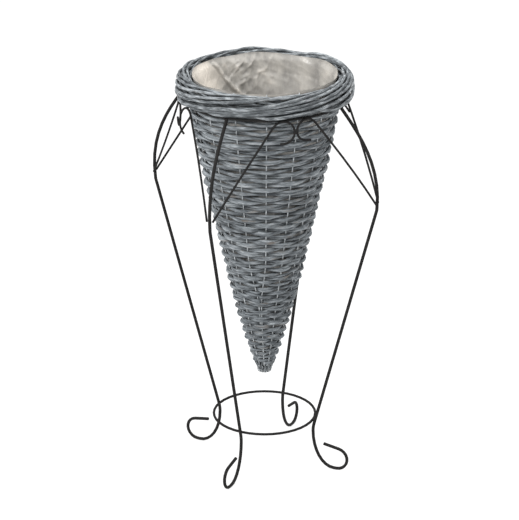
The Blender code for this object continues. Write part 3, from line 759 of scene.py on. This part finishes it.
# Ends slant by up to half this many degrees for each length of drop as long as the radius and TIP_CORE.
TIP_SLANT = 57.0
TIP_CORE = 4 * MM
TIP_END_STEPS = 10
TIP_END_SIDES = 6


def add_tip_end(strands, rng, azimuth, layer, thick, foot, head, **colours):
    """One end that runs down into the blunt bunch, from head to foot over the tip's foot."""
    share = np.linspace(0.0, 1.0, TIP_END_STEPS)
    height = head - (head - foot) * share
    heights, radii = np.array(TIP_OUTLINE).T
    radius = np.interp(height, heights, radii) * layer - thick
    turned = azimuth + rng.uniform(-0.5, 0.5) * (height - foot) / (radius + TIP_CORE) * TIP_SLANT
    up = polar(np.ones(TIP_END_STEPS), turned + 90.0, np.zeros(TIP_END_STEPS))
    strands.add(polar(radius, turned, TIP_HEIGHT + height), thick * (1.1 - 0.3 * share), TIP_END_SIDES, rng,
                up=up, **colours)


def add_tip():
    rng = np.random.default_rng(SEED + 2)
    rods = Strands()
    wires = Strands()
    # Layered ends lie deep in the bunch and get full painted shade.
    for layer, count in TIP_LAYERS:
        for index in range(count):
            add_tip_end(rods, rng, 360.0 * index / count + rng.uniform(-4, 4), layer, TIP_END,
                        rng.uniform(*TIP_FEET), TIP_END_HEAD, depth=1.0, lumps=0.06)
    for _ in range(TIP_SHORT_ENDS):
        foot = rng.uniform(*TIP_SHORT_FEET)
        add_tip_end(rods, rng, rng.uniform(0, 360), rng.uniform(0.93, 1.03), rng.uniform(*TIP_SHORT_THICK),
                    foot, foot + rng.uniform(*TIP_SHORT_LENGTHS), depth=rng.choice(TIP_SHORT_PAINTED_SHADES),
                    lumps=0.08)
    for index in range(TIP_WIRE_ENDS):
        foot = rng.uniform(*TIP_WIRE_FEET)
        add_tip_end(wires, rng, 360.0 * index / TIP_WIRE_ENDS + rng.uniform(-5, 5), rng.uniform(0.98, 1.04),
                    TIP_WIRE_THICK, foot, foot + rng.uniform(*TIP_WIRE_LENGTHS))
    for _ in range(TIP_SCRAPS):
        foot = rng.uniform(*TIP_SCRAP_FEET)
        add_tip_end(wires, rng, rng.uniform(0, 360), rng.uniform(0.98, 1.04), TIP_SCRAP_THICK, foot,
                    foot + rng.uniform(*TIP_SCRAP_LENGTHS))
    rods.build("tip_rods", willow, "grey_willow")
    wires.build("tip_wire_ends", wire, "stake_wire")


# The liner.

# The film: heights of its edge and its foot, and its columns and rows of corners.
LINER_TOP = 0.7570
LINER_FOOT = 0.215
LINER_COLUMNS = 480
LINER_ROWS = 180
# Rows lie closer together towards the mouth by this power.
LINER_ROW_POWER = 1.25
LINER_UNDER_WALL = 12.2 * MM
# Height and radius of the film where it goes up inside the mouth's rods.
LINER_MOUTH = ((0.7185, 0.1268), (0.7355, 0.1272), (0.7440, 0.1282), (0.7520, 0.1292), (0.7600, 0.1300))
# The film's edge rises and falls: waves round the mouth, phase and height. It follows the rim's dip in part.
EDGE_WAVES = ((1, -0.9, -1.3 * MM), (5, 0.0, 0.9 * MM), (11, 1.0, 0.7 * MM))
EDGE_DIP_SHARE = 0.6
# Degrees along the film are measured at this radius, near the mouth.
FILM_RADIUS = 0.13
# The fold is a pair of ridges with a crease between: heights and half widths.
FOLD_LINE = ((137, 0.7480), (133.4, 0.7397), (127.8, 0.7213), (119.7, 0.6989), (112.6, 0.6843), (104, 0.668))
FOLD_RIDGES = (3.2 * MM, 3.6 * MM)
FOLD_CREASE = (1.8 * MM, 1.0 * MM)
# A painted highlight along the fold: how much paler, and its half width.
FOLD_PAINTED_HIGHLIGHT = 0.34
FOLD_PAINTED_HIGHLIGHT_WIDTH = 4.0 * MM
# To the fold's left the film hangs clear of the weave, and is painted lighter there: from how far beside it,
# where as in SWELLS, and how much.
CLEAR_PAINTED_LIGHT_BESIDE = (1.5 * MM, 7.0 * MM)
CLEAR_PAINTED_LIGHT_PLACE = ((158, 0.72), (34.0, 0.07))
CLEAR_PAINTED_LIGHT = 0.85
# Creases, each a broken line of azimuths and heights, with its height and half width.
CREASES = ((((121, 0.727), (112, 0.737), (101, 0.742)), 1.9 * MM, 2.6 * MM),
           (((112, 0.711), (101, 0.719), (90, 0.724)), 1.9 * MM, 2.4 * MM),
           (((118, 0.699), (106, 0.706), (96, 0.712)), 1.5 * MM, 2.4 * MM),
           (((105, 0.752), (112, 0.734), (122, 0.712)), 1.7 * MM, 2.6 * MM),
           (((98, 0.754), (101, 0.738), (109, 0.722)), 1.6 * MM, 2.0 * MM),
           (((93, 0.754), (91, 0.736), (84, 0.712)), 1.4 * MM, 2.2 * MM),
           (((84, 0.752), (88, 0.730), (97, 0.700)), 1.0 * MM, 2.4 * MM),
           (((150, 0.748), (147, 0.735), (149, 0.722)), 1.2 * MM, 1.4 * MM),
           (((146, 0.748), (144, 0.736), (145, 0.720)), 1.2 * MM, 1.4 * MM),
           (((154, 0.744), (153, 0.733), (150, 0.712)), 0.9 * MM, 1.4 * MM),
           (((168, 0.738), (163, 0.726), (160, 0.712)), -1.6 * MM, 1.8 * MM))
# Crease ridges get a painted highlight and crease hollows painted shade, by this much.
CREASE_PAINTED_LIGHT_AND_SHADE = 0.16
# Places where the film stands off the weave: azimuth and height, half widths, how far, and how much painted
# light they get.
SWELLS = (((160, 0.712), (26.0, 0.038), 4.5 * MM, 0.25), ((28, 0.715), (9.0, 0.06), 3.0 * MM, 0.30),
          ((54, 0.715), (7.5, 0.06), 2.8 * MM, 0.30), ((5, 0.715), (9.0, 0.06), 3.0 * MM, 0.20),
          ((88, 0.748), (34.0, 0.013), 1.5 * MM, 0.04), ((-60, 0.750), (60.0, 0.02), 2.0 * MM, 0.60))
# Places of painted light and painted shade on the film, which leave its shape as it is.
PAINTED_LIGHT_AND_SHADE_PLACES = (((125, 0.738), (9.0, 0.016), 0.32), ((85, 0.700), (6.0, 0.010), 0.30),
               ((76, 0.725), (5.0, 0.012), 0.26), ((172, 0.725), (12.0, 0.020), -0.35),
               ((52, 0.742), (8.0, 0.010), -0.15), ((73, 0.72), (3.5, 0.05), -0.18),
               ((108, 0.703), (14.0, 0.018), -0.12), ((125, 0.693), (5.0, 0.018), -0.30),
               ((40, 0.72), (3.5, 0.05), -0.18))
# Painted lightness of the film everywhere.
PLAIN_PAINTED_LIGHTNESS = 0.10
# Crumples: their number, waves round the film, slope, half widths of the place where each is strong,
# sharpness, and height for a given number of waves.
CRUMPLE_COUNT = 44
CRUMPLE_WAVES = (9, 66)
CRUMPLE_SLOPE = 190.0
CRUMPLE_PATCH = (42.0, 0.06)
CRUMPLE_SHARPNESS = 1.5
CRUMPLE_HEIGHT = 95.0 * MM
CRUMPLE_HEIGHT_WAVES = 22.0
# Crumple crests get painted highlights and their hollows painted shade, by this much a millimetre.
CRUMPLE_PAINTED_LIGHT_AND_SHADE = 0.11
# The film is most crumpled here, and calm elsewhere.
CRUMPLED_PLACE = ((103, 0.728), (22.0, 0.045))
CALM_SHARE = 0.16
# Between these heights the border's rods come to hold the film, all but this share of its relief.
HELD_HEIGHTS = (0.7420, 0.7560)
HELD_SHARE = 0.15
# The film never stands further in than this share of its plain radius.
LEAST_RADIUS_SHARE = 0.6


def liner_radius(height):
    heights, radii = np.array(LINER_MOUTH).T
    lower = wall_radius(height) - LINER_UNDER_WALL
    return np.where(height > heights[0], np.interp(height, heights, radii), np.minimum(lower, radii[0]))


def patch(azimuth, height, middle, spread):
    """A smooth swelling round a place: middle is its azimuth and height, spread its half widths."""
    return bell(degrees_from(azimuth, middle[0]), spread[0]) * bell(height - middle[1], spread[1])


def line_distance(azimuth, height, line):
    """Distance to a broken line of azimuths and heights on the film, and how far to which side of it."""
    degree = radians(1.0) * FILM_RADIUS
    nearest = np.full(azimuth.shape, 1.0)
    beside = np.zeros(azimuth.shape)
    for (first, foot), (second, head) in zip(line, line[1:]):
        x = degrees_from(azimuth, first) * degree
        y = height - foot
        step = np.array([(second - first) * degree, head - foot])
        length = np.hypot(*step)
        share = np.clip((x * step[0] + y * step[1]) / length ** 2, 0.0, 1.0)
        away = np.hypot(x - share * step[0], y - share * step[1])
        cross = (x * step[1] - y * step[0]) / length
        closer = away < nearest
        nearest = np.where(closer, away, nearest)
        beside = np.where(closer, cross, beside)
    return nearest, beside


def film_places():
    """Azimuths and heights of the film's corners, row by row from the edge down."""
    columns = np.linspace(0.0, 360.0, LINER_COLUMNS, endpoint=False)
    edge = LINER_TOP - EDGE_DIP_SHARE * rim_dip(columns)
    for waves, phase, size in EDGE_WAVES:
        edge = edge + size * np.sin(waves * np.radians(columns) + phase)
    share = np.linspace(0.0, 1.0, LINER_ROWS)[:, None] ** LINER_ROW_POWER
    height = edge[None, :] - (edge[None, :] - LINER_FOOT) * share
    return np.broadcast_to(columns[None, :], height.shape), height


def crumples(rng, azimuth, height):
    """Waves with sharp crests in many directions, each strong only in places."""
    total = np.zeros_like(height)
    for _ in range(CRUMPLE_COUNT):
        waves = int(rng.integers(*CRUMPLE_WAVES))
        slope = rng.normal(0.0, CRUMPLE_SLOPE)
        bend = rng.uniform(0.4, 1.4) * np.sin(np.radians(azimuth) * rng.integers(1, 5) + rng.uniform(0, 6))
        phase = np.radians(azimuth) * waves + slope * height + bend + rng.uniform(0, 6)
        strong = patch(azimuth, height, (rng.uniform(0, 360), rng.uniform(0.60, 0.76)), CRUMPLE_PATCH)
        crest = (1.0 - np.abs(np.sin(phase / 2))) ** CRUMPLE_SHARPNESS
        total += crest * (0.08 + strong) * CRUMPLE_HEIGHT / (waves + CRUMPLE_HEIGHT_WAVES)
    return total


def film_relief(rng, azimuth, height):
    """How far inward the film stands, and its painted light and shade: paler where it stands off the weave,
    on the fold and on ridges and crests, darker in some places.
    """
    crumple = crumples(rng, azimuth, height)
    away, beside = line_distance(azimuth, height, FOLD_LINE)
    inward = FOLD_RIDGES[0] * np.exp(-(away / FOLD_RIDGES[1]) ** 4)
    inward = inward - FOLD_CREASE[0] * np.exp(-away / FOLD_CREASE[1])
    # Painted highlight along the fold, and painted light to its left where the film hangs clear.
    painted_lightness = PLAIN_PAINTED_LIGHTNESS + FOLD_PAINTED_HIGHLIGHT * bell(away, FOLD_PAINTED_HIGHLIGHT_WIDTH)
    painted_lightness = painted_lightness + CLEAR_PAINTED_LIGHT * smooth_share(-beside, *CLEAR_PAINTED_LIGHT_BESIDE) * patch(azimuth, height, *CLEAR_PAINTED_LIGHT_PLACE)
    for middle, spread, out, painted_lighter in SWELLS:
        swell = patch(azimuth, height, middle, spread)
        inward = inward + out * swell
        painted_lightness = painted_lightness + painted_lighter * swell
    for middle, spread, painted_lighter in PAINTED_LIGHT_AND_SHADE_PLACES:
        painted_lightness = painted_lightness + painted_lighter * patch(azimuth, height, middle, spread)
    for line, out, width in CREASES:
        away, _ = line_distance(azimuth, height, line)
        # A crease fades and comes back along its line.
        strength = 0.65 + 0.35 * np.sin(np.radians(azimuth) * 31.0 + 150.0 * height)
        inward = inward + out * strength * np.exp(-away / width)
        # Painted highlight on crease ridges, painted shade in crease hollows.
        painted_lightness = painted_lightness + CREASE_PAINTED_LIGHT_AND_SHADE * np.sign(out) * strength * bell(away, width)
    calm = CALM_SHARE + (1.0 - CALM_SHARE) * patch(azimuth, height, *CRUMPLED_PLACE)
    # Painted highlights on crumple crests, painted shade in their hollows.
    painted_lightness = painted_lightness + CRUMPLE_PAINTED_LIGHT_AND_SHADE * (crumple - np.mean(crumple)) / MM * calm
    return inward + crumple * calm, painted_lightness


def add_liner():
    rng = np.random.default_rng(SEED + 3)
    azimuth, height = film_places()
    inward, painted_lightness = film_relief(rng, azimuth, height)
    free = HELD_SHARE + (1.0 - HELD_SHARE) * (1.0 - smooth_share(height, *HELD_HEIGHTS))
    plain = liner_radius(height)
    radius = np.maximum(plain - inward * free, LEAST_RADIUS_SHARE * plain)
    points = polar(radius, azimuth, height).reshape(-1, 3)
    index = np.arange(LINER_ROWS * LINER_COLUMNS).reshape(LINER_ROWS, LINER_COLUMNS)
    after = np.roll(index, -1, axis=1)
    quads = np.stack([index[:-1], index[1:], after[1:], after[:-1]], -1).reshape(-1, 4)
    foot = len(points)
    faces = quads.tolist() + [(a, foot, b) for a, b in zip(index[-1].tolist(), after[-1].tolist())]
    mesh = bpy.data.meshes.new("liner_film")
    mesh.from_pydata(np.concatenate([points, [[0.0, 0.0, LINER_FOOT]]]).tolist(), [], faces)
    # The film's painted light and shade, kept on its corners.
    painted_light_and_shade = mesh.attributes.new("painted_light_and_shade", "FLOAT", "POINT")
    painted_light_and_shade.data.foreach_set("value", np.append(painted_lightness.ravel(), 0.0).astype(np.float32))
    piece = add_piece("liner_film", mesh, film, "basket", ["liner"])


# The stand keeps its CAD wires, and gets their welds.

STAND_WIRES = [frame["nodes"][node] for node in frame["record"]["behaviour"]["bodies"]["stand"]]
# Wires closer than this are welded.
WELD_GAP = 1.0 * MM
WELD_SIZE = 2.7 * MM
WELD_LUMPS = 0.22


def paint_stand():
    for stand_wire in STAND_WIRES:
        stand_wire.data.materials.clear()
        stand_wire.data.materials.append(paint)


def contact(first, second):
    """The place where two wires come closest, if they nearly touch."""
    tree = BVHTree.FromPolygons([v.co for v in second.vertices], [p.vertices for p in second.polygons])
    best = None
    for vertex in first.vertices:
        place, _, _, gap = tree.find_nearest(vertex.co, 3 * WELD_GAP)
        if place is not None and (best is None or gap < best[0]):
            best = (gap, (vertex.co + place) / 2)
    return best[1] if best and best[0] < WELD_GAP else None


def add_welds():
    """A small lump of weld wherever two of the stand's wires touch."""
    build = bmesh.new()
    for first, second in combinations([stand_wire.data for stand_wire in STAND_WIRES], 2):
        place = contact(first, second)
        if place is None:
            continue
        made = bmesh.ops.create_icosphere(build, subdivisions=3, radius=1.0)
        for vertex in made["verts"]:
            swell = 1.0 + WELD_LUMPS * noise.noise(vertex.co * 1.3 + place * 1000.0)
            vertex.co = place + Vector(vertex.co * swell * WELD_SIZE)
    mesh = bpy.data.meshes.new("weld_beads")
    build.to_mesh(mesh)
    build.free()
    add_piece("weld_beads", mesh, paint, "stand")


# Floor, lights and camera.

WHITE = (1.0, 1.0, 1.0, 1.0)
FLOOR_SIZE = 40.0
# The floor's grey for light that falls on the object, and the shares of shadow and white that are seen.
FLOOR_COLOUR = (0.80, 0.80, 0.80, 1.0)
FLOOR_SHADOWED = (0.22, 0.22, 0.22, 1.0)
FLOOR_WHITE = 0.86
WORLD_LIGHT = 0.64
LIGHT_AIM = (0.0, 0.0, 0.45)
# Lights: place, size and power.
LIGHTS = {"key": ((-2.4, -1.8, 2.4), 1.4, 88.0), "fill": ((2.2, -1.6, 1.8), 2.0, 15.0),
          "top": ((0.3, 0.2, 3.0), 2.0, 54.0)}
# The photograph's camera, as fitted to it.
CAMERA_PLACE = (0.0018, -4.1429, 2.0322)
CAMERA_TILT = 68.49
CAMERA_TURN = 0.155
CAMERA_LENS = 168.5
CAMERA_SENSOR = 36.0


def add_floor():
    n = Nodes(bpy.data.materials.new("white_floor"))
    plain = n.add("BsdfDiffuse", {"Color": FLOOR_COLOUR})
    shadowed = n.add("BsdfDiffuse", {"Color": FLOOR_SHADOWED})
    white = n.add("Emission", {"Color": WHITE, "Strength": FLOOR_WHITE})
    both = n.add("AddShader", {0: shadowed.outputs[0], 1: white.outputs[0]})
    material = n.surface(n.add("MixShader", {0: n.background_rays(), 1: plain.outputs[0],
                                             2: both.outputs[0]}))
    bpy.ops.mesh.primitive_plane_add(size=FLOOR_SIZE, location=(0.0, 0.0, 0.0))
    floor = bpy.context.active_object
    floor.name = "floor"
    floor.data.materials.append(material)


def add_world():
    world = bpy.data.worlds.new("studio")
    bpy.context.scene.world = world
    n = Nodes(world, "OutputWorld")
    soft = n.add("Background", {"Color": WHITE, "Strength": WORLD_LIGHT})
    white = n.add("Background", {"Color": WHITE, "Strength": 1.0})
    n.surface(n.add("MixShader", {0: n.background_rays(), 1: soft.outputs[0], 2: white.outputs[0]}))


def add_lights():
    for name, (place, size, power) in LIGHTS.items():
        data = bpy.data.lights.new(name, "AREA")
        data.shape = "DISK"
        data.size = size
        data.energy = power
        light = bpy.data.objects.new(name, data)
        light.location = place
        light.rotation_euler = (Vector(LIGHT_AIM) - Vector(place)).to_track_quat("-Z", "Y").to_euler()
        bpy.context.scene.collection.objects.link(light)


def add_camera():
    data = bpy.data.cameras.new("camera")
    data.lens = CAMERA_LENS
    data.sensor_width = CAMERA_SENSOR
    camera = bpy.data.objects.new("camera", data)
    camera.location = CAMERA_PLACE
    camera.rotation_euler = (radians(CAMERA_TILT), 0.0, radians(CAMERA_TURN))
    bpy.context.scene.collection.objects.link(camera)
    bpy.context.scene.camera = camera


bpy.context.scene.view_settings.view_transform = "Standard"
add_camera()
add_floor()
add_world()
add_lights()
paint_stand()
add_welds()
add_stakes()
add_weave()
add_border()
add_tip()
add_liner()
